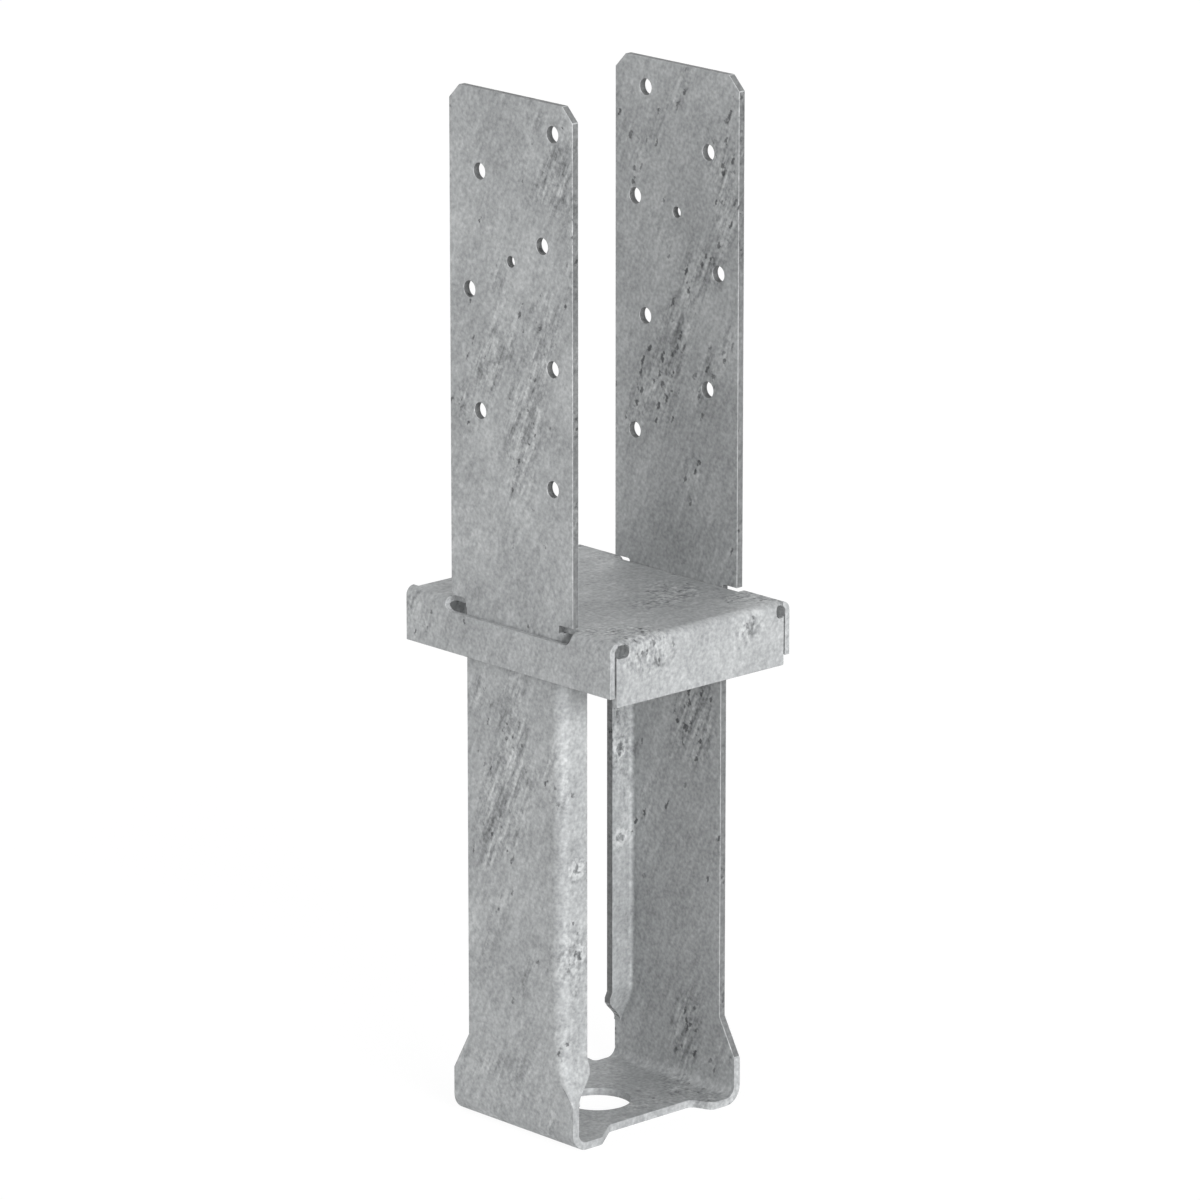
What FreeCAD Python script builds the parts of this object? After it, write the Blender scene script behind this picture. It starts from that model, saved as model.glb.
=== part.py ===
import FreeCAD, Part
import math
import operator
import os
from types import SimpleNamespace

import Sketcher
from FreeCAD import Vector

# Timber post base.
# A long steel strip is folded into a U. Its two upper tabs take a square timber
# post between them, its two legs reach down into the concrete, and its bottom
# web ties the legs together. A folded tray, the stand-off plate, sits on the
# legs' flanges and lifts the post clear of the concrete.
#
# Frame: the origin is under the middle of the web, +Z is up, +X runs from the
# near upright to the far one, and +Y runs across the strip, front to back.

# The driving sizes, in millimetres
SIZES = {
    # The strip, before it is folded
    "strap_thickness": 3.4,
    "strap_width": 75.0,

    # The folded strap: clear width for the post, overall height, inside bend radius
    "inside_width": 90.5,
    "strap_height": 448.0,
    "foot_bend_radius": 4.6,

    # Where the stand-off plate sits, and the shoulders that stop just above it
    "plate_height": 228.0,
    "shoulder_gap": 1.0,
    "neck_width": 57.2,
    "neck_corner_radius": 1.0,
    "corner_cut": 6.2,

    # The legs: the strip's edges are offset sideways, so that one edge is plain and
    # the other is folded inward as a stiffening flange
    "edge_shift": 9.5,
    "flange_inset": 7.2,
    "flange_reach": 14.8,
    "flange_bend_radius": 2.0,
    "run_out_start": 37.0,
    "run_out_end": 20.0,
    "run_out_lip": 0.5,
    "run_out_radius": 0.8,

    # The bottom web: its edges step sideways by the same offset
    "foot_toe": 2.0,
    "front_step_start": 32.0,
    "front_step_end": 19.0,
    "far_step_start": 28.6,
    "far_step_end": 32.4,
    "back_bulge_end": 34.8,
    "back_step_end": 33.4,
    "step_radius": 4.0,
    "back_step_radius": 1.8,
    "web_hole_diameter": 29.0,

    # Screw and nail holes in the tabs, measured down from the top and from the middle
    "screw_hole_diameter": 7.1,
    "nail_hole_diameter": 4.8,
    "first_row": 12.5,
    "second_row_step": 22.2,
    "row_pitch": 25.4,
    "outer_column": 25.4,
    "inner_column": 19.05,
    "near_nail_row": 69.8,
    "far_nail_row": 63.2,

    # The stand-off plate, whose front flange is deeper than the other three
    "plate_thickness": 2.6,
    "plate_length": 126.4,
    "front_flange_height": 27.6,
    "flange_height": 23.4,
    "plate_bend_radius": 1.4,
    "strap_clearance": 0.1,
    "seat_clearance": 0.1,
    "corner_gap": 0.9,

    # The rounded relief through the bend at each of the plate's corners,
    # which is wider at the near ones
    "near_relief_width": 7.7,
    "far_relief_width": 4.4,
    "relief_height": 5.4,
    "relief_radius": 2.0,
    "relief_drop": 4.2,
    "relief_inset": 0.5,

    # The plate's two slots, which the strap's necks pass through
    "slot_end_clearance": 1.2,
    "slot_inner_clearance": 0.25,
    "slot_drop": 5.7,
    "slot_corner_radius": 4.0,

    # How far a cut or an overlap runs on, so that no thin skin is left
    "margin": 2.0,
}

document = FreeCAD.newDocument("timber_post_base")
sheet = document.addObject("Spreadsheet::Sheet", "sizes")

OPERATIONS = {"+": operator.add, "-": operator.sub, "*": operator.mul, "/": operator.truediv}


class Size:
    """A length, with the sheet formula that it comes from."""

    def __init__(self, number, formula):
        self.number = number
        self.formula = formula

    def __add__(self, other):
        return combine(self, "+", other)

    def __sub__(self, other):
        return combine(self, "-", other)

    def __mul__(self, other):
        return combine(self, "*", other)

    def __truediv__(self, other):
        return combine(self, "/", other)

    def __neg__(self):
        return combine(self, "*", -1)


def as_size(value):
    if isinstance(value, Size):
        return value
    return Size(float(value), f"({value})")


def combine(left, sign, right):
    left = as_size(left)
    right = as_size(right)
    number = OPERATIONS[sign](left.number, right.number)
    return Size(number, f"({left.formula} {sign} {right.formula})")


for row, (name, number) in enumerate(SIZES.items(), start=1):
    sheet.set(f"A{row}", name)
    sheet.set(f"B{row}", str(number))
    sheet.setAlias(f"B{row}", name)

size = SimpleNamespace(**{name: Size(number, f"sizes.{name}") for name, number in SIZES.items()})

# Worked out from the driving sizes
ground = as_size(0)
half_width = size.strap_width / 2
inner_face = size.inside_width / 2
outer_face = inner_face + size.strap_thickness
plain_edge = half_width - size.edge_shift
fold_face = half_width - size.flange_inset
flange_tip = outer_face - size.flange_reach
toe_end = inner_face - size.foot_bend_radius - size.foot_toe
shoulder_height = size.plate_height + size.shoulder_gap
plate_underside = size.plate_height - size.plate_thickness
flange_top = plate_underside - size.seat_clearance
tray_inner = outer_face + size.strap_clearance
tray_outer = tray_inner + size.plate_thickness
tray_end = size.plate_length / 2
plate_outer_radius = size.plate_bend_radius + size.plate_thickness
bend_start = tray_end - plate_outer_radius

# How far the flange has run out at each section of its loft, from full to none.
# Its tip starts to draw back at the first of the two marks and is gone at the second.
RUN_OUT_STEPS = (0, 0.2, 0.35, 0.5, 0.65, 0.8, 0.9, 1)
TIP_MARKS = (0.2, 1)


def origin_feature(body, role):
    return next(item for item in body.Origin.OriginFeatures if item.Role == role)


def new_sketch(body, name, plane, offset=None):
    """A sketch on one of the body's own planes, moved along the plane's normal."""
    sketch = body.newObject("Sketcher::SketchObject", name)
    sketch.AttachmentSupport = [(origin_feature(body, plane), "")]
    sketch.MapMode = "FlatFace"
    if offset is not None:
        sketch.setExpression("AttachmentOffset.Base.z", offset.formula)
    return sketch


def tie(sketch, constraint, length):
    """Add a dimension and bind it to its size."""
    index = sketch.addConstraint(constraint)
    sketch.setExpression(f"Constraints[{index}]", length.formula)


def tie_point(sketch, geometry, point, across, up):
    """Hold a point at its distances from the sketch's origin."""
    tie(sketch, Sketcher.Constraint("DistanceX", -1, 1, geometry, point, across.number), across)
    tie(sketch, Sketcher.Constraint("DistanceY", -1, 1, geometry, point, up.number), up)


class Corner:
    """One corner of an outline, square or rounded."""

    def __init__(self, across, up, radius=None):
        self.across = as_size(across)
        self.up = as_size(up)
        self.radius = radius
        self.place = Vector(self.across.number, self.up.number, 0)

    def lay_out(self, before, after):
        """Find where the rounding meets the two sides beside the corner."""
        self.entry = self.exit = self.place
        if self.radius is None:
            return
        towards_before = (before.place - self.place).normalize()
        towards_after = (after.place - self.place).normalize()
        half_angle = towards_before.getAngle(towards_after) / 2
        reach = self.radius.number / math.tan(half_angle)
        self.entry = self.place + towards_before * reach
        self.exit = self.place + towards_after * reach
        inward = (towards_before + towards_after).normalize()
        to_middle = self.radius.number / math.sin(half_angle) - self.radius.number
        self.middle = self.place + inward * to_middle
        self.turns_left = towards_after.cross(towards_before).z > 0


def add_outline(sketch, corners):
    """Draw one closed outline and bind every corner to its sizes."""
    count = len(corners)
    for index, corner in enumerate(corners):
        corner.lay_out(corners[index - 1], corners[(index + 1) % count])
    sides = []
    for index, corner in enumerate(corners):
        side = Part.LineSegment(corner.exit, corners[(index + 1) % count].entry)
        sides.append(sketch.addGeometry(side))
    for index, corner in enumerate(corners):
        add_corner(sketch, corner, sides[index - 1], sides[index])


def add_corner(sketch, corner, side_before, side_after):
    if corner.radius is None:
        sketch.addConstraint(Sketcher.Constraint("Coincident", side_before, 2, side_after, 1))
        tie_point(sketch, side_after, 1, corner.across, corner.up)
        return
    ends = (corner.entry, corner.exit) if corner.turns_left else (corner.exit, corner.entry)
    arc = sketch.addGeometry(Part.Arc(ends[0], corner.middle, ends[1]))
    entry_point, exit_point = (1, 2) if corner.turns_left else (2, 1)
    sharp = sketch.addGeometry(Part.Point(corner.place), True)
    tie_point(sketch, sharp, 1, corner.across, corner.up)
    sketch.addConstraint(Sketcher.Constraint("PointOnObject", sharp, 1, side_before))
    sketch.addConstraint(Sketcher.Constraint("PointOnObject", sharp, 1, side_after))
    sketch.addConstraint(Sketcher.Constraint("Tangent", side_before, 2, arc, entry_point))
    sketch.addConstraint(Sketcher.Constraint("Tangent", arc, exit_point, side_after, 1))
    tie(sketch, Sketcher.Constraint("Radius", arc, corner.radius.number), corner.radius)


def add_circle(sketch, across, up, diameter):
    place = Vector(across.number, up.number, 0)
    circle = sketch.addGeometry(Part.Circle(place, Vector(0, 0, 1), diameter.number / 2))
    tie_point(sketch, circle, 3, across, up)
    tie(sketch, Sketcher.Constraint("Diameter", circle, diameter.number), diameter)


def outline_sketch(body, name, plane, corners, offset=None):
    sketch = new_sketch(body, name, plane, offset)
    add_outline(sketch, corners)
    return sketch


def pad(body, name, sketch, length, symmetric=False):
    feature = body.newObject("PartDesign::Pad", name)
    feature.Profile = sketch
    feature.setExpression("Length", length.formula)
    if symmetric:
        feature.SideType = "Symmetric"
    return feature


def pocket(body, name, sketch, length=None, reverse=False):
    """Cut a sketch into the body, right through where no length is given."""
    feature = body.newObject("PartDesign::Pocket", name)
    feature.Profile = sketch
    feature.Reversed = reverse
    if length is None:
        feature.Type = "ThroughAll"
    else:
        feature.setExpression("Length", length.formula)
    return feature


def half_turn_copy(body, name, features):
    """Repeat features on the other side of the upright centre line."""
    pattern = body.newObject("PartDesign::PolarPattern", name)
    pattern.Originals = features
    pattern.Axis = (origin_feature(body, "Z_Axis"), [""])
    pattern.Angle = 360
    pattern.Occurrences = 2
    body.Tip = pattern
    return pattern


# The strap


def web_corners():
    """The web's outline from above, its edges stepped sideways towards +Y."""
    front = -half_width
    front_waist = -plain_edge
    back = half_width
    bulge = half_width + size.edge_shift
    return [
        Corner(-toe_end, front),
        Corner(-size.front_step_start, front, size.step_radius),
        Corner(-size.front_step_end, front_waist, size.step_radius),
        Corner(size.far_step_start, front_waist, size.step_radius),
        Corner(size.far_step_end, front, size.step_radius),
        Corner(toe_end, front),
        Corner(toe_end, back),
        Corner(size.back_step_end, back, size.back_step_radius),
        Corner(size.back_bulge_end, bulge, size.back_step_radius),
        Corner(-size.back_bulge_end, bulge, size.back_step_radius),
        Corner(-size.back_step_end, back, size.back_step_radius),
        Corner(-toe_end, back),
    ]


def foot_corners():
    """The bend between web and leg, seen along the strip's width."""
    outer_radius = size.foot_bend_radius + size.strap_thickness
    return [
        Corner(-outer_face, size.run_out_end),
        Corner(-outer_face, ground, outer_radius),
        Corner(-toe_end, ground),
        Corner(-toe_end, size.strap_thickness),
        Corner(-inner_face, size.strap_thickness, size.foot_bend_radius),
        Corner(-inner_face, size.run_out_end),
    ]


def drawn_back(run_out):
    """How far the flange's tip has drawn back, in a smooth step from 0 to 1."""
    first, last = TIP_MARKS
    share = min(max((run_out - first) / (last - first), 0), 1)
    return share * share * (3 - 2 * share)


def leg_corners(run_out):
    """The near leg's section: a plain edge on +Y, a folded flange on -Y.

    A run_out of 0 is the full flange and 1 is the flat strip of the foot.
    """
    tip_share = drawn_back(run_out)
    outer_radius = size.flange_bend_radius + size.strap_thickness
    plain = plain_edge + (half_width - plain_edge) * run_out
    fold = fold_face + (half_width - fold_face) * run_out
    tip = flange_tip + (inner_face - size.run_out_lip - flange_tip) * tip_share
    outer_round = outer_radius + (size.run_out_radius - outer_radius) * tip_share
    inner_round = size.flange_bend_radius * (1 - tip_share) + size.run_out_lip / 2 * tip_share
    return [
        Corner(-outer_face, plain),
        Corner(-outer_face, -fold, outer_round),
        Corner(-tip, -fold),
        Corner(-tip, -fold + size.strap_thickness),
        Corner(-inner_face, -fold + size.strap_thickness, inner_round),
        Corner(-inner_face, plain),
    ]


def tab_corners():
    """The neck through the plate's slot and the tab above it."""
    neck = size.neck_width / 2
    top_side = size.strap_height - size.corner_cut
    top_end = half_width - size.corner_cut
    return [
        Corner(-neck, flange_top),
        Corner(neck, flange_top),
        Corner(neck, shoulder_height, size.neck_corner_radius),
        Corner(half_width, shoulder_height),
        Corner(half_width, top_side),
        Corner(top_end, size.strap_height),
        Corner(-top_end, size.strap_height),
        Corner(-half_width, top_side),
        Corner(-half_width, shoulder_height),
        Corner(-neck, shoulder_height, size.neck_corner_radius),
    ]


def screw_row(row):
    """Height of a row of screw holes; row 0 is the top one."""
    if row == 0:
        return size.strap_height - size.first_row
    down = size.first_row + size.second_row_step + size.row_pitch * (row - 1)
    return size.strap_height - down


def tab_hole_sketch(body, name, columns, nail_row):
    """One staggered screw hole a row, with a nail hole in the middle."""
    sketch = new_sketch(body, name, "YZ_Plane")
    for row, column in enumerate(columns):
        add_circle(sketch, column, screw_row(row), size.screw_hole_diameter)
    add_circle(sketch, ground, size.strap_height - nail_row, size.nail_hole_diameter)
    return sketch


def make_strap():
    body = document.addObject("PartDesign::Body", "strap")
    body.Label = "strap"

    web_sketch = outline_sketch(body, "web_outline", "XY_Plane", web_corners())
    pad(body, "web", web_sketch, size.strap_thickness)

    foot_sketch = outline_sketch(body, "foot_side", "XZ_Plane", foot_corners())
    foot = pad(body, "foot", foot_sketch, size.strap_width, symmetric=True)

    sections = []
    for step, share in enumerate(RUN_OUT_STEPS):
        height = size.run_out_start + (size.run_out_end - size.run_out_start) * share
        name = f"run_out_section_{step}"
        sections.append(outline_sketch(body, name, "XY_Plane", leg_corners(share), height))
    run_out = body.newObject("PartDesign::AdditiveLoft", "flange_run_out")
    run_out.Profile = sections[-1]
    run_out.Sections = sections[-2::-1]
    run_out.Ruled = True

    leg_sketch = outline_sketch(body, "leg_section", "XY_Plane", leg_corners(0), size.run_out_start)
    leg = pad(body, "leg", leg_sketch, flange_top - size.run_out_start)

    tab_sketch = outline_sketch(body, "tab_outline", "YZ_Plane", tab_corners(), -outer_face)
    tab = pad(body, "tab", tab_sketch, size.strap_thickness)

    half_turn_copy(body, "far_upright", [foot, run_out, leg, tab])

    outer = size.outer_column
    inner = size.inner_column
    near_columns = [-outer, inner, -inner, outer, -outer, inner, -outer]
    far_columns = [inner, -inner, outer, -outer, inner, -inner, outer]
    near_holes = tab_hole_sketch(body, "near_tab_holes", near_columns, size.near_nail_row)
    pocket(body, "near_tab_drilling", near_holes)
    far_holes = tab_hole_sketch(body, "far_tab_holes", far_columns, size.far_nail_row)
    pocket(body, "far_tab_drilling", far_holes, reverse=True)

    web_hole = new_sketch(body, "web_hole_outline", "XY_Plane")
    add_circle(web_hole, ground, ground, size.web_hole_diameter)
    pocket(body, "web_hole", web_hole, reverse=True)
    return body


# The stand-off plate


def rectangle(left, bottom, right, top):
    return [Corner(left, bottom), Corner(right, bottom), Corner(right, top), Corner(left, top)]


def tray_corners():
    """The tray's section: the top sheet with a flange bent down outside each leg."""
    foot = size.plate_height - size.flange_height
    return [
        Corner(-tray_outer, foot),
        Corner(-tray_inner, foot),
        Corner(-tray_inner, plate_underside, size.plate_bend_radius),
        Corner(tray_inner, plate_underside, size.plate_bend_radius),
        Corner(tray_inner, foot),
        Corner(tray_outer, foot),
        Corner(tray_outer, size.plate_height, plate_outer_radius),
        Corner(-tray_outer, size.plate_height, plate_outer_radius),
    ]


def end_flange_corners(side, height):
    """The section of a front (-1) or back (1) flange, with its bend from the top sheet."""
    joined = (bend_start - size.margin) * side
    outside = tray_end * side
    inside = (tray_end - size.plate_thickness) * side
    foot = size.plate_height - height
    return [
        Corner(joined, plate_underside),
        Corner(inside, plate_underside, size.plate_bend_radius),
        Corner(inside, foot),
        Corner(outside, foot),
        Corner(outside, size.plate_height, plate_outer_radius),
        Corner(joined, size.plate_height),
    ]


def relief_corners(side, width):
    """The relief's outline beside the near (-1) or far (1) side flange."""
    outer = (tray_inner - size.relief_inset) * side
    inner = (tray_inner - size.relief_inset - width) * side
    top = size.plate_height - size.relief_drop + size.relief_height / 2
    foot = top - size.relief_height
    return [
        Corner(outer, foot, size.relief_radius),
        Corner(inner, foot, size.relief_radius),
        Corner(inner, top, size.relief_radius),
        Corner(outer, top, size.relief_radius),
    ]


def make_plate():
    body = document.addObject("PartDesign::Body", "standoff_plate")
    body.Label = "standoff_plate"

    tray_sketch = outline_sketch(body, "tray_section", "XZ_Plane", tray_corners())
    pad(body, "tray", tray_sketch, size.plate_length, symmetric=True)

    # Between the side bends, the top sheet stops where the end bends begin
    level = plate_underside - size.margin
    bend_line = tray_outer - plate_outer_radius
    past_end = tray_end + size.margin
    trim = new_sketch(body, "end_trim", "XY_Plane", level)
    add_outline(trim, rectangle(-bend_line, bend_start, bend_line, past_end))
    add_outline(trim, rectangle(-bend_line, -past_end, bend_line, -bend_start))
    pocket(body, "end_cut", trim, size.plate_thickness + size.margin * 2, reverse=True)

    # The front and back flanges stop short of the side flanges at each corner
    flange_length = (tray_inner - size.corner_gap) * 2
    for name, side, height in (("front_flange", -1, size.front_flange_height),
                               ("back_flange", 1, size.flange_height)):
        corners = end_flange_corners(side, height)
        section = outline_sketch(body, f"{name}_section", "YZ_Plane", corners)
        pad(body, name, section, flange_length, symmetric=True)

    # Each corner has a rounded relief where the two bends would meet
    reliefs_front = new_sketch(body, "front_reliefs", "XZ_Plane", past_end)
    reliefs_back = new_sketch(body, "back_reliefs", "XZ_Plane", -past_end)
    for sketch in (reliefs_front, reliefs_back):
        add_outline(sketch, relief_corners(-1, size.near_relief_width))
        add_outline(sketch, relief_corners(1, size.far_relief_width))
    relief_depth = plate_outer_radius + size.margin
    pocket(body, "front_relief_cut", reliefs_front, relief_depth)
    pocket(body, "back_relief_cut", reliefs_back, relief_depth, reverse=True)

    # A slot for each upright, cut over the bend and down into the side flange
    slot_end = half_width + size.slot_end_clearance
    slot_foot = size.plate_height - size.slot_drop
    slot_top = size.plate_height + size.margin
    slot_corners = [
        Corner(-slot_end, slot_foot, size.slot_corner_radius),
        Corner(slot_end, slot_foot, size.slot_corner_radius),
        Corner(slot_end, slot_top),
        Corner(-slot_end, slot_top),
    ]
    slot_start = inner_face - size.slot_inner_clearance
    slot_sketch = outline_sketch(body, "slot_outline", "YZ_Plane", slot_corners, -slot_start)
    slot = pocket(body, "near_slot", slot_sketch)
    half_turn_copy(body, "far_slot", [slot])
    return body


def check(body):
    """Stop where a feature has failed or a piece isn't one sound solid."""
    for item in document.Objects:
        if "Invalid" in item.State or "Error" in item.State:
            raise RuntimeError(f"{item.Name} failed: {item.State}")
    shape = body.Shape
    if shape.isNull() or not shape.isValid() or len(shape.Solids) != 1:
        raise RuntimeError(f"{body.Label} isn't one valid solid")
    box = shape.optimalBoundingBox()
    print(f"{body.Label}: {shape.Volume:.1f} mm3, {len(shape.Faces)} faces, "
          f"{box.XLength:.2f} x {box.YLength:.2f} x {box.ZLength:.2f} mm")


pieces = [make_strap(), make_plate()]
document.recompute()
for piece in pieces:
    check(piece)

os.makedirs("parts", exist_ok=True)
for piece in pieces:
    piece.Shape.exportStep(f"parts/{piece.Label}.step")
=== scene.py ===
# %% [markdown]
# A timber post base in hot-dip galvanised steel
#
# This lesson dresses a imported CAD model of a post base. The base is two folded pieces of
# steel: a long strap, bent into a U, and a stand-off plate that sits between its tabs.
# Both were sheared, punched and folded first and dipped in molten zinc afterwards, so
# every surface, cut edges too, has the same grey skin. That skin is what the lesson is
# about. The shapes come from the CAD model. Only the sheared arrises and the lower ends
# of the strap's flanges are softened.

# %% Load the model as a fixed frame
import math

import bmesh
import bpy
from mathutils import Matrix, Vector
from mathutils.bvhtree import BVHTree


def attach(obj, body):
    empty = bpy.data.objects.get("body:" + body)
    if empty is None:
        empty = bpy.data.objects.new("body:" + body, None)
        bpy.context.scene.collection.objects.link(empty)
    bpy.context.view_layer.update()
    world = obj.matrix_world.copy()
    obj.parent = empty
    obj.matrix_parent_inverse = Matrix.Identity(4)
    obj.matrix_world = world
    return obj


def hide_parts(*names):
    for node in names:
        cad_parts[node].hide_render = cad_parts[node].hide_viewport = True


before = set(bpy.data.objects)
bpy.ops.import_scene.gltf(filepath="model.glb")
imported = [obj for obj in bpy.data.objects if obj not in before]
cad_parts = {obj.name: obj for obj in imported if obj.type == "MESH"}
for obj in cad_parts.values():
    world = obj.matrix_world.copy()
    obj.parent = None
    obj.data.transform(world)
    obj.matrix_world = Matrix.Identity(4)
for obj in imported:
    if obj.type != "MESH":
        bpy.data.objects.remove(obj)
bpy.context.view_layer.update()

MM = 0.001

# %% [markdown]
# Colours are written as sRGB hex values, the way a colour picker shows them. Shaders add
# up light, so they want linear numbers. The numbers could be worked out once and typed
# in, but then nobody could read them as colours. So one function turns the first into
# the second.

# %% From a hex colour to linear light
def linear(hex_colour, alpha=1.0):
    """A colour such as #9fa1a2 as the linear RGBA that a shader's socket takes."""
    channels = [int(hex_colour[i:i + 2], 16) / 255 for i in (1, 3, 5)]
    channels = [c / 12.92 if c <= 0.04045 else ((c + 0.055) / 1.055) ** 2.4 for c in channels]
    return (*channels, alpha)

print("mid grey in linear light:", [round(c, 3) for c in linear("#808080")[:3]])

# %% [markdown]
# The camera. The picture was taken with a long lens, from the front left corner and a
# little above, so the base looks slim and its uprights stay almost parallel. A camera
# could be moved by eye until it fits. Its place and tilt here were fitted to the corners
# of the real base in the picture, which comes closer.

# %% Camera
camera_data = bpy.data.cameras.new("camera")
camera_data.lens = 230.7
camera_data.clip_start = 0.1
camera_data.clip_end = 50.0
camera = bpy.data.objects.new("camera", camera_data)
bpy.context.scene.collection.objects.link(camera)
camera.location = (-2.1204, -2.2827, 1.0866)
camera_turn, camera_tilt = math.radians(-42.91), math.radians(-15.46)
camera.rotation_euler = (math.pi / 2 + camera_tilt, 0, camera_turn)
bpy.context.scene.camera = camera
print("camera stands", round(camera.location.length, 2), "m from the base's foot")

# %% [markdown]
# A node helper. A material is a small graph of nodes. This one function adds any node,
# sets its values and links its inputs, so that the graphs below read like a recipe.

# %% One function that adds a node
def add_node(tree, kind, inputs=None, **settings):
    """Add a node, set its properties and fill its inputs.

    An input is a value, another node's socket, or a node, meaning its first output.
    """
    node = tree.nodes.new(kind)
    for name, value in settings.items():
        setattr(node, name, value)
    for key, value in (inputs or {}).items():
        if isinstance(value, bpy.types.Node):
            value = value.outputs[0]
        if isinstance(value, bpy.types.NodeSocket):
            tree.links.new(value, node.inputs[key])
        else:
            node.inputs[key].default_value = value
    return node

print("the node helper is ready")

# %% [markdown]
# The stage. A plain white studio: a wide pale floor, a white surround and soft light.
# More light would turn the background white, but it would wash out the metal as well.
# So the surround shows white to the camera and in reflections, through Light Path, and
# lights the base at a lower level. The floor is treated the same way, and some of it
# stays paint, which takes the base's shadow.

# %% Seen directly or in a reflection
def seen(tree):
    """1 for camera, glossy and transmission rays, 0 for the rest."""
    rays = add_node(tree, "ShaderNodeLightPath").outputs
    share = rays["Is Camera Ray"]
    for kind in ("Is Glossy Ray", "Is Transmission Ray"):
        share = add_node(tree, "ShaderNodeMath", {0: share, 1: rays[kind]}, operation="MAXIMUM")
    return share

print("the ray switch is ready")

# %% White surround
SURROUND_LIGHT = 0.44
WHITE = linear("#ffffff")
world = bpy.data.worlds.new("white_surround")
bpy.context.scene.world = world
world.use_nodes = True
tree = world.node_tree
tree.nodes.clear()
lighting = add_node(tree, "ShaderNodeBackground", {"Color": WHITE, "Strength": SURROUND_LIGHT})
backdrop = add_node(tree, "ShaderNodeBackground", {"Color": WHITE, "Strength": 1.0})
mix = add_node(tree, "ShaderNodeMixShader", {0: seen(tree), 1: lighting, 2: backdrop})
add_node(tree, "ShaderNodeOutputWorld", {"Surface": mix})
print("surround lights at", SURROUND_LIGHT, "and shows at 1.0")

# %% Floor
FLOOR_RADIUS = 12.0
bm = bmesh.new()
bmesh.ops.create_circle(bm, cap_ends=True, segments=96, radius=FLOOR_RADIUS)
floor_mesh = bpy.data.meshes.new("floor")
bm.to_mesh(floor_mesh)
bm.free()
floor = bpy.data.objects.new("floor", floor_mesh)
bpy.context.scene.collection.objects.link(floor)
print("floor is", 2 * FLOOR_RADIUS, "m across")

# %% Matt white paint for the floor
FLOOR_GLOW = 1.06      # how bright the floor shows by itself
GLOW_SHARE = 0.88      # the rest of what the camera sees is paint
floor_paint = bpy.data.materials.new("matt_white_paint")
floor_paint.use_nodes = True
tree = floor_paint.node_tree
tree.nodes.clear()
paint = add_node(tree, "ShaderNodeBsdfDiffuse", {"Color": linear("#f2f2f2")})
glow = add_node(tree, "ShaderNodeEmission", {"Color": WHITE, "Strength": FLOOR_GLOW})
share = add_node(tree, "ShaderNodeMath", {0: seen(tree), 1: GLOW_SHARE}, operation="MULTIPLY")
mix = add_node(tree, "ShaderNodeMixShader", {0: share, 1: paint, 2: glow})
add_node(tree, "ShaderNodeOutputMaterial", {"Surface": mix})
floor_mesh.materials.append(floor_paint)
print("floor paint:", floor_paint.name)

# %% [markdown]
# The lamps. Area lamps close by would light the top of the base more than its foot. Each
# lamp here is a wide, soft sun instead, which is the same all over the floor. The key
# light stands low and almost straight in front, so the faces turned to the front are the
# brightest, the sides are a step darker and the tops are darker still. A weaker light
# fills in from the left, and another one lights the back.

# %% Lamps
def add_sun(name, comes_from, strength, softness):
    """A sun that shines from a direction towards the base. Its softness is in degrees."""
    data = bpy.data.lights.new(name, "SUN")
    data.energy = strength
    data.angle = math.radians(softness)
    lamp = bpy.data.objects.new(name, data)
    bpy.context.scene.collection.objects.link(lamp)
    lamp.rotation_euler = Vector(comes_from).to_track_quat("Z", "Y").to_euler()

add_sun("key_light", comes_from=(-0.22, -1.0, 0.26), strength=3.0, softness=34)
add_sun("fill_light", comes_from=(-1.0, -0.05, 0.22), strength=0.6, softness=50)
add_sun("back_light", comes_from=(0.7, 1.0, 0.20), strength=0.42, softness=50)

# %% [markdown]
# The zinc skin. Hot-dip galvanising is a bath of molten zinc. The zinc freezes into a
# dull grey with a fine grain. Where ash and drips drag over it as the part is pulled
# out, slanting fields of the skin turn rougher: darker on the whole, busy with light
# and dark specks, and marked with small pits. Between them the skin is calm. So one
# slow noise says where a field is, and it drives the strength of everything else.
# A flat image wrapped round the metal would stretch and show its seams. These noises
# read Object coordinates, so the pattern belongs to the metal and runs round bends and
# edges.

# %% The sizes of the pattern, in millimetres
GRAIN = 1.6          # zinc crystals; real ones are finer, drawn so that they show
MOTTLE = 5.0         # groups of crystals
CLOUD = 32.0         # soft patches of lighter and darker zinc
DRAG_WIDTH = 2.6     # one drag mark, across and along
DRAG_LENGTH = 20.0
FIELD_WIDTH = 26.0   # a field of drag marks, across and along
FIELD_LENGTH = 58.0
PIT_SPACING = 3.0    # from one pit to the next, across and along
PIT_LENGTH = 6.0
PIT_RADIUS = 1.0

def per_metre(size_in_mm):
    """The Scale that gives a pattern features of this size."""
    return 1 / (size_in_mm * MM)

print("grain scale:", round(per_metre(GRAIN)))

# %% Uneven zinc
def unevenness(tree, place, width, length, detail, roughness):
    """Noise with features this wide, and this long along Z, moved so that its middle is 0."""
    place = add_node(tree, "ShaderNodeMapping", {"Vector": place, "Scale": (1, 1, width / length)})
    raw = add_node(tree, "ShaderNodeTexNoise", {
        "Vector": place, "Scale": per_metre(width), "Detail": detail, "Roughness": roughness})
    return add_node(tree, "ShaderNodeMath", {0: raw, 1: 0.5}, operation="SUBTRACT")

print("a drag mark is", round(DRAG_LENGTH / DRAG_WIDTH, 1), "times as long as it is wide")

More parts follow.
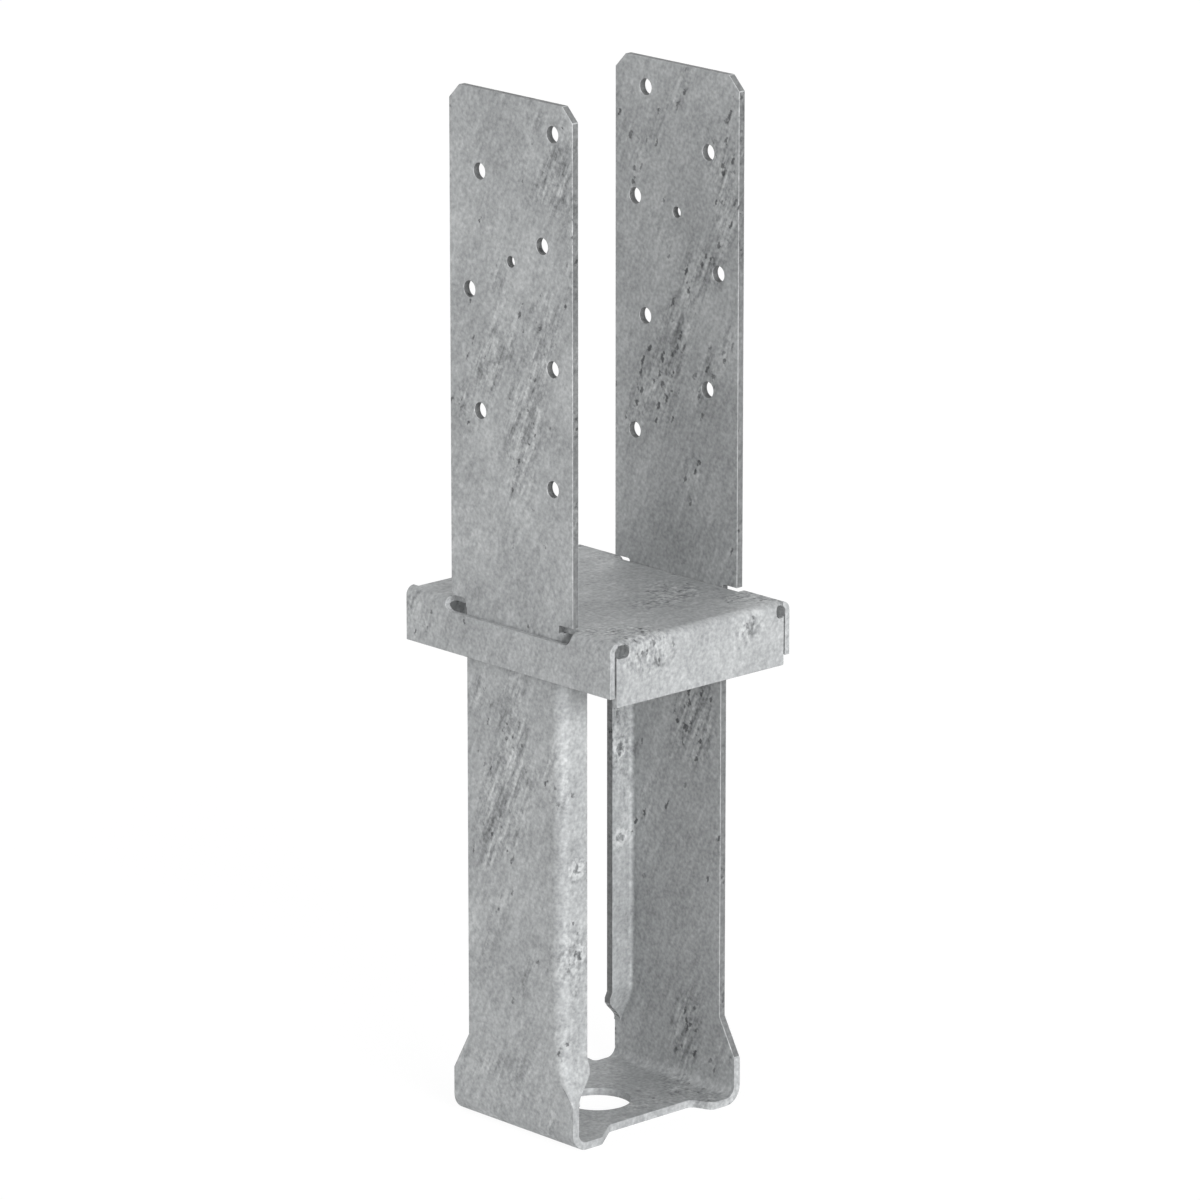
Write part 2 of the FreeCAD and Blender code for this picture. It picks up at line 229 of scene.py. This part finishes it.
# %% [markdown]
# The busy fields. The slow noise alone would put them anywhere, and painting them would
# take an image. So the noise is lifted near a few chosen places, where the fields show
# best on the real base. The strap hung upright in the bath, so its fields are twice as
# tall as they are wide.

# %% Where the fields lie: x, y, z and reach, in millimetres
STRAP_FIELDS = [
    (-48.6, 5, 330, 24), (-48.6, -32, 408, 12), (45.2, -5, 340, 24),
    (45.2, -30, 396, 12), (-48.6, 1, 166, 17), (-48.6, 12, 124, 13),
    (45.2, -14, 156, 15), (38, 27, 178, 14), (-42, -28, 86, 9)]
PLATE_FIELDS = [
    (-32, -63, 220, 13), (27, -63, 220, 11), (40, -48, 228, 15),
    (24, -20, 228, 13), (-51, 52, 216, 13)]
STRAP_TALL = 2.0
FAR_AWAY = 9.0         # in reaches

def nearness(tree, place, fields, tall):
    """How far a point is from the nearest of these places, counted in that place's reach."""
    squat = (1, 1, 1 / tall)
    place = add_node(tree, "ShaderNodeVectorMath", {0: place, 1: squat}, operation="MULTIPLY")
    nearest = FAR_AWAY
    for *centre, reach in fields:
        centre = [side * MM * factor for side, factor in zip(centre, squat)]
        away = add_node(tree, "ShaderNodeVectorMath", {0: place, 1: centre}, operation="DISTANCE")
        away = add_node(tree, "ShaderNodeMath", {
            0: away.outputs["Value"], 1: per_metre(reach)}, operation="MULTIPLY")
        nearest = add_node(tree, "ShaderNodeMath", {0: away, 1: nearest}, operation="MINIMUM")
    return nearest

print("places:", len(STRAP_FIELDS), "on the strap,", len(PLATE_FIELDS), "on the plate")

# %% The busy fields themselves
FIELD_FADE = (0.3, 1.4)       # in reaches, where the lift begins to fade and where it is gone
FIELD_LIFT = (0.15, -0.05)    # what is added to the slow noise there
FIELD_EDGE = (0.01, 0.15)     # the slow noise where a field begins, and where it is full

def busy_field(tree, own_place, place, fields, tall):
    """0 in calm zinc and 1 in a field: a slow noise, lifted near the chosen places."""
    slow = unevenness(tree, place, FIELD_WIDTH, FIELD_LENGTH, detail=3.0, roughness=0.55)
    if fields:
        lift = add_node(tree, "ShaderNodeMapRange", {
            "Value": nearness(tree, own_place, fields, tall),
            "From Min": FIELD_FADE[0], "From Max": FIELD_FADE[1],
            "To Min": FIELD_LIFT[0], "To Max": FIELD_LIFT[1]})
        slow = add_node(tree, "ShaderNodeMath", {0: slow, 1: lift}, operation="ADD")
    return add_node(tree, "ShaderNodeMapRange", {
        "Value": slow, "From Min": FIELD_EDGE[0], "From Max": FIELD_EDGE[1]})

print("a field is full where the slow noise is over", FIELD_EDGE[1])

# %% [markdown]
# Drip rings. Where the last drops of zinc ran together they froze with a raised rim. Each
# ring could be modelled, but it is only tenths of a millimetre high and shows by its
# tone: a dark core, a bright ring and a faint dark one. So a ramp on the distance from
# the drip is enough. The four places, on the two long flanges, are guessed.

# %% Drip rings
STRAP_DRIPS = [(-38.7, -30.3, 84.3), (-39.9, -30.3, 121.4), (38.2, 26.9, 106.4), (38.0, 26.9, 146.2)]
RING_STOPS = [(0.0, 0.08), (0.20, 0.15), (0.42, 0.74), (0.60, 0.66), (0.80, 0.40), (1.0, 0.5)]
RING_RADIUS = 6.5      # mm
WANDER = 8.0           # mm; a rim isn't round, and wanders by up to half of this
WANDER_SIZE = 2.5      # mm, from one turn of the rim to the next
ONE_METRE = 1.0        # further than any drip

def drip_rings(tree, place, centres):
    """Tone round the drips, 0.5 away from them."""
    wander = add_node(tree, "ShaderNodeTexNoise", {
        "Vector": place, "Scale": per_metre(WANDER_SIZE), "Detail": 3.0}).outputs["Color"]
    wander = add_node(tree, "ShaderNodeVectorMath", {0: wander, 1: (0.5,) * 3}, operation="SUBTRACT")
    moved = add_node(tree, "ShaderNodeVectorMath", {
        0: wander, 1: (WANDER * MM,) * 3, 2: place}, operation="MULTIPLY_ADD")
    nearest = ONE_METRE
    for centre in centres:
        centre = [side * MM for side in centre]
        away = add_node(tree, "ShaderNodeVectorMath", {0: moved, 1: centre}, operation="DISTANCE")
        nearest = add_node(tree, "ShaderNodeMath", {
            0: away.outputs["Value"], 1: nearest}, operation="MINIMUM")
    way_out = add_node(tree, "ShaderNodeMapRange", {"Value": nearest, "From Max": RING_RADIUS * MM})
    ring = add_node(tree, "ShaderNodeValToRGB", {"Fac": way_out})
    stops = ring.color_ramp.elements
    while len(stops) < len(RING_STOPS):
        stops.new(0.5)
    for stop, (position, value) in zip(stops, RING_STOPS):
        stop.position = position
        stop.color = (value, value, value, 1.0)
    return ring

print("drips on the strap:", len(STRAP_DRIPS))

# %% [markdown]
# Pits. Ash that was caught in the zinc leaves small dark pits, most of them in a busy
# field. A noise with a threshold would give blots of every size. The cell texture gives
# cells of about one size instead, and each cell has a number of its own, which says
# whether it has a pit and how deep that is.

# %% Pits
PIT_CHANCE = (0.012, 0.50)    # the share of cells that have a pit, in calm zinc and in a field
PIT_RAGGED = 0.9              # how far the grain eats into a pit's round edge
PIT_FAINTEST = 0.45

def pits(tree, place, field, grain):
    """1 in the core of a pit. A cell has a pit where its own number is under the chance."""
    place = add_node(tree, "ShaderNodeMapping", {
        "Vector": place, "Scale": (1, 1, PIT_SPACING / PIT_LENGTH)})
    cells = add_node(tree, "ShaderNodeTexVoronoi", {
        "Vector": place, "Scale": per_metre(PIT_SPACING)}).outputs
    ragged = add_node(tree, "ShaderNodeMath", {
        0: grain, 1: PIT_RAGGED, 2: cells["Distance"]}, operation="MULTIPLY_ADD")
    core = add_node(tree, "ShaderNodeMapRange", {
        "Value": ragged, "From Min": PIT_RADIUS / PIT_SPACING,
        "From Max": 0.5 * PIT_RADIUS / PIT_SPACING})
    number = add_node(tree, "ShaderNodeSeparateColor", {"Color": cells["Color"]})
    chance = add_node(tree, "ShaderNodeMapRange", {
        "Value": field, "To Min": PIT_CHANCE[0], "To Max": PIT_CHANCE[1]})
    has_pit = add_node(tree, "ShaderNodeMath", {0: number, 1: chance}, operation="LESS_THAN")
    rank = add_node(tree, "ShaderNodeMath", {0: number, 1: chance}, operation="DIVIDE")
    depth = add_node(tree, "ShaderNodeMapRange", {"Value": rank, "To Min": 1.0, "To Max": PIT_FAINTEST})
    picked = add_node(tree, "ShaderNodeMath", {0: has_pit, 1: depth}, operation="MULTIPLY")
    return add_node(tree, "ShaderNodeMath", {0: core, 1: picked}, operation="MULTIPLY")

print("share of cells with a pit:", PIT_CHANCE)

# %% [markdown]
# From noises to zinc. Each layer could have colours of its own, but then they would not
# agree. So the layers add up to one tone, from dark to light, and the tone picks both the
# colour and the roughness. The relief adds up the same layers, so the bumps lie where
# the marks are. The real coat is a metal under a thin film of grey oxide. So the shader
# is only partly metallic and rather rough, which gives a soft sheen and no mirror.

# %% Tone
CLOUD_TONE = 0.40
MOTTLE_TONE = (0.25, 0.45)    # how strong a layer is in calm zinc, and in a field
GRAIN_TONE = (0.62, 1.00)
DRAG_TONE = (0.32, 1.45)

def zinc_tone(tree, field, cloud, mottle, grain, drag):
    """0.5 is plain zinc. Grain and drag marks are strong in a field and faint outside."""
    tone = add_node(tree, "ShaderNodeMath", {0: cloud, 1: CLOUD_TONE, 2: 0.5}, operation="MULTIPLY_ADD")
    for layer, (calm, busy) in ((mottle, MOTTLE_TONE), (grain, GRAIN_TONE), (drag, DRAG_TONE)):
        strength = add_node(tree, "ShaderNodeMapRange", {"Value": field, "To Min": calm, "To Max": busy})
        tone = add_node(tree, "ShaderNodeMath", {
            0: layer, 1: strength, 2: tone}, operation="MULTIPLY_ADD")
    return tone

print("drag marks are", round(DRAG_TONE[1] / DRAG_TONE[0], 1), "times stronger in a field")

# %% Colour, from the darkest crystals to the lightest
ZINC_DARK = "#646667"
ZINC_MID = "#a6a8a9"
ZINC_LIGHT = "#dadcdc"
ZINC_ASH = "#6a6c6e"
PIT_DARK = "#37393b"
ASH_SHARE = 0.10
PIT_SHARE = 0.75
FACTOR, A, B, RESULT = 0, 6, 7, 2     # a Mix node's sockets when it mixes colours

def zinc_colour(tree, tone, field, pit, shade):
    """Crystals from dark to light, a little ash in a field, and dark pits."""
    skin = add_node(tree, "ShaderNodeValToRGB", {"Fac": tone})
    skin.color_ramp.elements[0].color = linear(ZINC_DARK)
    skin.color_ramp.elements[1].color = linear(ZINC_LIGHT)
    skin.color_ramp.elements.new(0.5).color = linear(ZINC_MID)
    ash = add_node(tree, "ShaderNodeMath", {0: field, 1: ASH_SHARE}, operation="MULTIPLY")
    ashy = add_node(tree, "ShaderNodeMix", {
        FACTOR: ash, A: skin, B: linear(ZINC_ASH)}, data_type="RGBA")
    dark = add_node(tree, "ShaderNodeMath", {0: pit, 1: PIT_SHARE}, operation="MULTIPLY")
    pitted = add_node(tree, "ShaderNodeMix", {
        FACTOR: dark, A: ashy.outputs[RESULT], B: linear(PIT_DARK)}, data_type="RGBA")
    return add_node(tree, "ShaderNodeMix", {
        FACTOR: 1.0, A: pitted.outputs[RESULT], B: (shade, shade, shade, 1.0)},
        data_type="RGBA", blend_type="MULTIPLY").outputs[RESULT]

print("zinc from", ZINC_DARK, "to", ZINC_LIGHT)

# %% Relief, in millimetres
MOTTLE_RELIEF = 0.22
GRAIN_RELIEF = 0.05
DRAG_RELIEF = 0.16
PIT_RELIEF = -0.25

def zinc_relief(tree, field, mottle, grain, drag, pit):
    """Bumps of a few hundredths to a few tenths of a millimetre. Drag marks stand up in a field."""
    height = add_node(tree, "ShaderNodeMath", {0: mottle, 1: MOTTLE_RELIEF * MM}, operation="MULTIPLY")
    drag = add_node(tree, "ShaderNodeMath", {0: drag, 1: field}, operation="MULTIPLY")
    for layer, relief in ((grain, GRAIN_RELIEF), (drag, DRAG_RELIEF), (pit, PIT_RELIEF)):
        height = add_node(tree, "ShaderNodeMath", {
            0: layer, 1: relief * MM, 2: height}, operation="MULTIPLY_ADD")
    return add_node(tree, "ShaderNodeBump", {"Height": height, "Distance": 1.0, "Strength": 1.0})

print("a pit is up to", -PIT_RELIEF, "mm deep")

# %% Galvanised steel
METALLIC = 0.32               # the film of grey oxide hides most of the metal's mirror
DARK_TONE, LIGHT_TONE = 0.2, 0.8
DARK_ROUGHNESS, LIGHT_ROUGHNESS = 0.70, 0.60
FIELD_DULLS = 0.06            # a busy field is this much rougher still

def galvanised_steel(name, slant, shade, seed, fields=(), tall=1.0, drips=()):
    """Dull hot-dip zinc: a metal under a thin film of grey oxide.

    slant turns the drag marks from upright, in degrees. shade darkens or lightens the
    whole skin. seed moves the pattern, so that two pieces differ. tall is how much
    taller than wide the fields are.
    """
    material = bpy.data.materials.new(name)
    material.use_nodes = True
    tree = material.node_tree
    tree.nodes.clear()
    own_place = add_node(tree, "ShaderNodeTexCoord").outputs["Object"]
    place = add_node(tree, "ShaderNodeMapping", {
        "Vector": own_place, "Location": (seed,) * 3, "Rotation": (math.radians(slant), 0, 0)})

    field = busy_field(tree, own_place, place, fields, tall)
    cloud = unevenness(tree, place, CLOUD, CLOUD, detail=3.0, roughness=0.5)
    mottle = unevenness(tree, place, MOTTLE, MOTTLE, detail=2.0, roughness=0.5)
    grain = unevenness(tree, place, GRAIN, GRAIN, detail=2.0, roughness=0.5)
    drag = unevenness(tree, place, DRAG_WIDTH, DRAG_LENGTH, detail=3.0, roughness=0.6)
    pit = pits(tree, place, field, grain)

    tone = zinc_tone(tree, field, cloud, mottle, grain, drag)
    if drips:
        rings = add_node(tree, "ShaderNodeMath", {
            0: drip_rings(tree, own_place, drips), 1: 0.5}, operation="SUBTRACT")
        tone = add_node(tree, "ShaderNodeMath", {0: tone, 1: rings}, operation="ADD")
    rough = add_node(tree, "ShaderNodeMapRange", {
        "Value": tone, "From Min": DARK_TONE, "From Max": LIGHT_TONE,
        "To Min": DARK_ROUGHNESS, "To Max": LIGHT_ROUGHNESS})
    rough = add_node(tree, "ShaderNodeMath", {
        0: field, 1: FIELD_DULLS, 2: rough}, operation="MULTIPLY_ADD")

    zinc = add_node(tree, "ShaderNodeBsdfPrincipled", {
        "Base Color": zinc_colour(tree, tone, field, pit, shade), "Metallic": METALLIC,
        "Roughness": rough, "Normal": zinc_relief(tree, field, mottle, grain, drag, pit)})
    add_node(tree, "ShaderNodeOutputMaterial", {"Surface": zinc})
    return material

strap_zinc = galvanised_steel("galvanised_strap", slant=-24.0, shade=1.0, seed=0.0,
                              fields=STRAP_FIELDS, tall=STRAP_TALL, drips=STRAP_DRIPS)
plate_zinc = galvanised_steel("galvanised_plate", slant=-20.0, shade=1.0, seed=0.37,
                              fields=PLATE_FIELDS)
print("skins:", strap_zinc.name, plate_zinc.name)

# %% [markdown]
# The sheared edges. A blade cuts the sheet partly and tears the rest, so the thickness
# of the sheet shows a rougher face than the rolled surface. Zinc still covers it. A new
# recipe isn't needed for that: the edges get the same one with the marks lying down and
# no chosen fields. A shade of its own makes the strap's edges darker than its skin, partly
# as a darker sheared zinc and partly as painted shade. It keeps the plate's about as
# light, a touch lighter, and that touch is painted light.

# %% Zinc on a sheared edge
LYING = 90.0      # degrees
# shade 0.46 is partly a darker sheared zinc and partly painted shade; 1.08 is painted light
strap_edge_dark_and_shaded = galvanised_steel("galvanised_strap_edge_dark_and_shaded", slant=LYING, shade=0.46, seed=0.71)
plate_edge_painted_light = galvanised_steel("galvanised_plate_edge_painted_light", slant=LYING, shade=1.08, seed=0.53)
print("edges:", strap_edge_dark_and_shaded.name, plate_edge_painted_light.name)

# %% [markdown]
# Rolled or sheared. A CAD mesh doesn't say which of its faces were cut, and picking them
# by hand would take long. So each triangle is asked how thick the metal is behind it:
# the rolled faces have the sheet's thickness there, and the sheared ones much more.

# %% Telling rolled faces from sheared ones
ROLLED, SHEARED, ROUNDED = range(3)
LOOK_FROM = 0.01     # mm under the face
THICK = 1.25         # in sheets

def is_sheared(face, tree, thickness):
    """True where the metal behind a face is clearly thicker than the sheet."""
    middle = face.calc_center_median()
    hit = tree.ray_cast(middle - face.normal * LOOK_FROM, -face.normal)
    return hit[0] is None or (hit[0] - middle).length > THICK * thickness

print("a face is sheared where the metal behind it is over", THICK, "sheets thick")

# %% [markdown]
# The flanges' lower ends. Above the foot each folded flange dies out into the flat strip.
# On the real base the sheet flows there without a crease, because it stretched in the
# press. The CAD model has flat facets. Smoothing the whole copy would round its folds
# too, so only these two places are cut into a fine grid, and their inner points are
# averaged with their neighbours. Points on an arris stay put, so the outline stays as
# it is.

# %% Round a flange's lower end
EASE_LOW, EASE_HIGH = 14.0, 62.0      # how far up the leg, in mm
EASE_FRONT, EASE_BACK = 14.0, 39.0    # how far from the middle, on the folded side
FLAT_BELOW = 20.5                     # under this height the sheared edge faces outwards
OUTWARD = 0.2                         # a face turned outwards has more than this along Y

def how_far_out(place):
    """Distance from the middle towards the side on which this leg is folded."""
    return math.copysign(place.y, place.x * place.y)

def in_run_out(place):
    """True for the region round either flange's lower end."""
    return EASE_LOW < place.z < EASE_HIGH and EASE_FRONT < how_far_out(place) < EASE_BACK

def mark_run_outs(bm):
    """The outward side of a flange's lower end is a rolled face, thick metal behind it or not."""
    for face in bm.faces:
        place = face.calc_center_median()
        outward = math.copysign(face.normal.y, face.normal.y * place.y)
        if place.z > FLAT_BELOW and in_run_out(place) and outward > OUTWARD:
            face.material_index = ROLLED

print("the flanges end between", EASE_LOW, "and", EASE_HIGH, "mm")

# %% Easing the flanges' lower ends
EASE_GRID = 2.0                       # mm
EASE_ROUNDS = 24
EASE_RISE = 1.0                       # each round stops this much lower than the last
EASE_FACTOR = 0.5                     # of the way to the neighbours' average
SHARP = math.radians(40)              # from this angle an edge counts as an arris
WELD = 0.001                          # mm, within which two points are one
Y_AXIS, Z_AXIS = 1, 2

def cut_across(bm, axis, low, high):
    """Cut all faces at even steps along one axis. Nothing moves."""
    normal = Vector([float(side == axis) for side in range(3)])
    for step in range(round((high - low) / EASE_GRID) + 1):
        bmesh.ops.bisect_plane(bm, geom=bm.verts[:] + bm.edges[:] + bm.faces[:], dist=WELD,
                               plane_co=normal * (low + step * EASE_GRID), plane_no=normal)

def ease_run_outs(bm):
    """Average the points round both flanges' lower ends. Points on an arris stay put."""
    cut_across(bm, Z_AXIS, EASE_LOW, EASE_HIGH)
    cut_across(bm, Y_AXIS, EASE_FRONT, EASE_BACK)
    cut_across(bm, Y_AXIS, -EASE_BACK, -EASE_FRONT)
    arris = {point for e in bm.edges if not e.is_manifold or e.calc_face_angle() > SHARP
             for point in e.verts}
    for done in range(EASE_ROUNDS):
        high = EASE_HIGH - done * EASE_RISE
        inner = [point for point in bm.verts
                 if point.co.z < high and in_run_out(point.co) and point not in arris
                 and all(face.material_index == ROLLED for face in point.link_faces)]
        bmesh.ops.smooth_vert(bm, verts=inner, factor=EASE_FACTOR,
                              use_axis_x=True, use_axis_y=True, use_axis_z=True)
    print("eased", len(inner), "points in the last round")

print("the grid is", EASE_GRID, "mm")

# %% [markdown]
# The bead. Zinc gathers on a sheared arris and rounds it, and the round catches the light
# as a thin bright line. It is a small bevel here. A bevel slides along the faces beside
# an edge, and where those are narrower than the bevel it folds over itself, as in the
# corners of the slots. Bevelling less everywhere would lose the bead, so it is tried on
# a scratch copy first, and the few short edges at which it folds stay square.

# %% A bead on the sheared arrises
BEAD = 0.3                     # mm
BEAD_SEGMENTS = 3
FOLDED = math.radians(120)     # two faces that meet like this lie almost back to back
TRIES = 6
TINY = 1e-9                    # keeps a division away from zero

def folds(bm):
    """The middles of the edges at which the mesh folds back."""
    return [(e.verts[0].co + e.verts[1].co) / 2 for e in bm.edges
            if e.is_manifold and e.calc_face_angle() > FOLDED]

def reach_to(edge, place):
    """How far a place is from an edge."""
    start, run = edge.verts[0].co, edge.verts[1].co - edge.verts[0].co
    share = (place - start).dot(run) / max(run.length_squared, TINY)
    return (start + run * min(max(share, 0.0), 1.0) - place).length

def bevel_arrises(bm, ease, keep_square, crowded):
    """Bevel the sheared arrises, apart from those near these places."""
    arrises = [e for e in bm.edges if e.is_manifold and e.calc_face_angle() > SHARP
               and any(face.material_index == SHEARED for face in e.link_faces)
               and not (ease and any(in_run_out(point.co) for point in e.verts))
               and all(reach_to(e, place) > crowded for place in keep_square)]
    bead = bmesh.ops.bevel(bm, geom=arrises, offset=BEAD, offset_type="OFFSET", affect="EDGES",
                           segments=BEAD_SEGMENTS, profile=0.5, material=-1, clamp_overlap=False)
    for face in bead["faces"]:
        face.material_index = ROUNDED
    return len(arrises)

def add_bead(bm, ease, crowded):
    """Try the bevel on scratch copies until it folds nowhere, then make it."""
    at_first = len(folds(bm))
    keep_square = []
    for attempt in range(TRIES):
        scratch = bm.copy()
        bevel_arrises(scratch, ease, keep_square, crowded)
        found = folds(scratch)
        scratch.free()
        if len(found) <= at_first:
            break
        keep_square += found
    print("a bead on", bevel_arrises(bm, ease, keep_square, crowded), "edges;",
          len(folds(bm)) - at_first, "folds after", attempt + 1, "tries")

print("the bead is", BEAD, "mm")

# %% [markdown]
# The copies. A CAD node's mesh is loose triangles and isn't changed itself, so each piece
# is a copy of it: welded, its faces sorted, its flat faces joined up, the bead added and
# the flanges eased. The copy stands in for the CAD node and keeps its place. The bead
# gets the rolled faces' zinc, and so do the lowest edges, where zinc ran together and
# covers the shear.

# %% Sorting and settling the faces
DRAINED = 21.0     # mm, the height up to which the zinc ran together
SLIVER = 0.002     # mm; a narrower face is dissolved

def sort_faces(bm, thickness, ease):
    """Give each face the index of its kind, and return how much of the piece is sheared."""
    tree = BVHTree.FromBMesh(bm)
    for face in bm.faces:
        face.material_index = SHEARED if is_sheared(face, tree, thickness) else ROLLED
    if ease:
        mark_run_outs(bm)
    return sum(face.calc_area() for face in bm.faces if face.material_index == SHEARED)

def settle_faces(bm):
    """Smooth faces between sharp arrises, each with rolled or sheared zinc."""
    for face in bm.faces:
        if face.material_index == ROUNDED or face.calc_center_median().z < DRAINED:
            face.material_index = ROLLED
        face.smooth = True
    bmesh.ops.dissolve_degenerate(bm, edges=bm.edges, dist=SLIVER)
    for e in bm.edges:
        e.smooth = not e.is_manifold or e.calc_face_angle() < SHARP

print("edges below", DRAINED, "mm are covered by zinc")

# %% A mesh with softened arrises
FLAT = math.radians(0.3)     # triangles that meet at less than this are one flat face

def softened_mesh(node, name, thickness, crowded, ease):
    """A mesh like a CAD node's, softened. The work in it is in millimetres."""
    bm = bmesh.new()
    bm.from_mesh(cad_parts[node].data)
    bmesh.ops.scale(bm, vec=(1 / MM,) * 3, verts=bm.verts)
    bmesh.ops.remove_doubles(bm, verts=bm.verts, dist=WELD)
    sheared = sort_faces(bm, thickness, ease)
    bmesh.ops.dissolve_limit(bm, angle_limit=FLAT, verts=bm.verts, edges=bm.edges,
                             delimit={"NORMAL", "MATERIAL"})
    add_bead(bm, ease, crowded)
    if ease:
        ease_run_outs(bm)
    settle_faces(bm)
    print(f"{name}: {len(bm.faces)} faces, {sum(not e.is_manifold for e in bm.edges)} open edges, "
          f"{bm.calc_volume():.0f} mm3, {sheared:.0f} mm2 sheared")
    bmesh.ops.scale(bm, vec=(MM,) * 3, verts=bm.verts)
    mesh = bpy.data.meshes.new(name)
    bm.to_mesh(mesh)
    bm.free()
    return mesh

print("triangles within", round(math.degrees(FLAT), 1), "degrees are joined up")

# %% The strap and the plate
def softened_copy(node, name, thickness, crowded, skin, edge, ease=False):
    """A piece that stands for a CAD node.

    thickness is the sheet's, in mm. An edge nearer to a fold than crowded, in mm, stays
    square. ease is for the piece whose flanges die out.
    """
    mesh = softened_mesh(node, name, thickness, crowded, ease)
    mesh.materials.append(skin)
    mesh.materials.append(edge)
    piece = bpy.data.objects.new(name, mesh)
    bpy.context.scene.collection.objects.link(piece)
    weighted = piece.modifiers.new("even_shading", "WEIGHTED_NORMAL")
    weighted.keep_sharp = True
    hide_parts(node)
    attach(piece, "root")

softened_copy("strap", "dipped_strap", thickness=3.4, crowded=0.3,
              skin=strap_zinc, edge=strap_edge_dark_and_shaded, ease=True)
softened_copy("standoff_plate", "dipped_plate", thickness=2.6, crowded=0.8,
              skin=plate_zinc, edge=plate_edge_painted_light)

# %% [markdown]
# How the picture is shown. The view that a new file starts with softens bright colours.
# Standard is the plain one, in which a colour renders about as it is written.

# %% View and sizes
bpy.context.scene.view_settings.view_transform = "Standard"
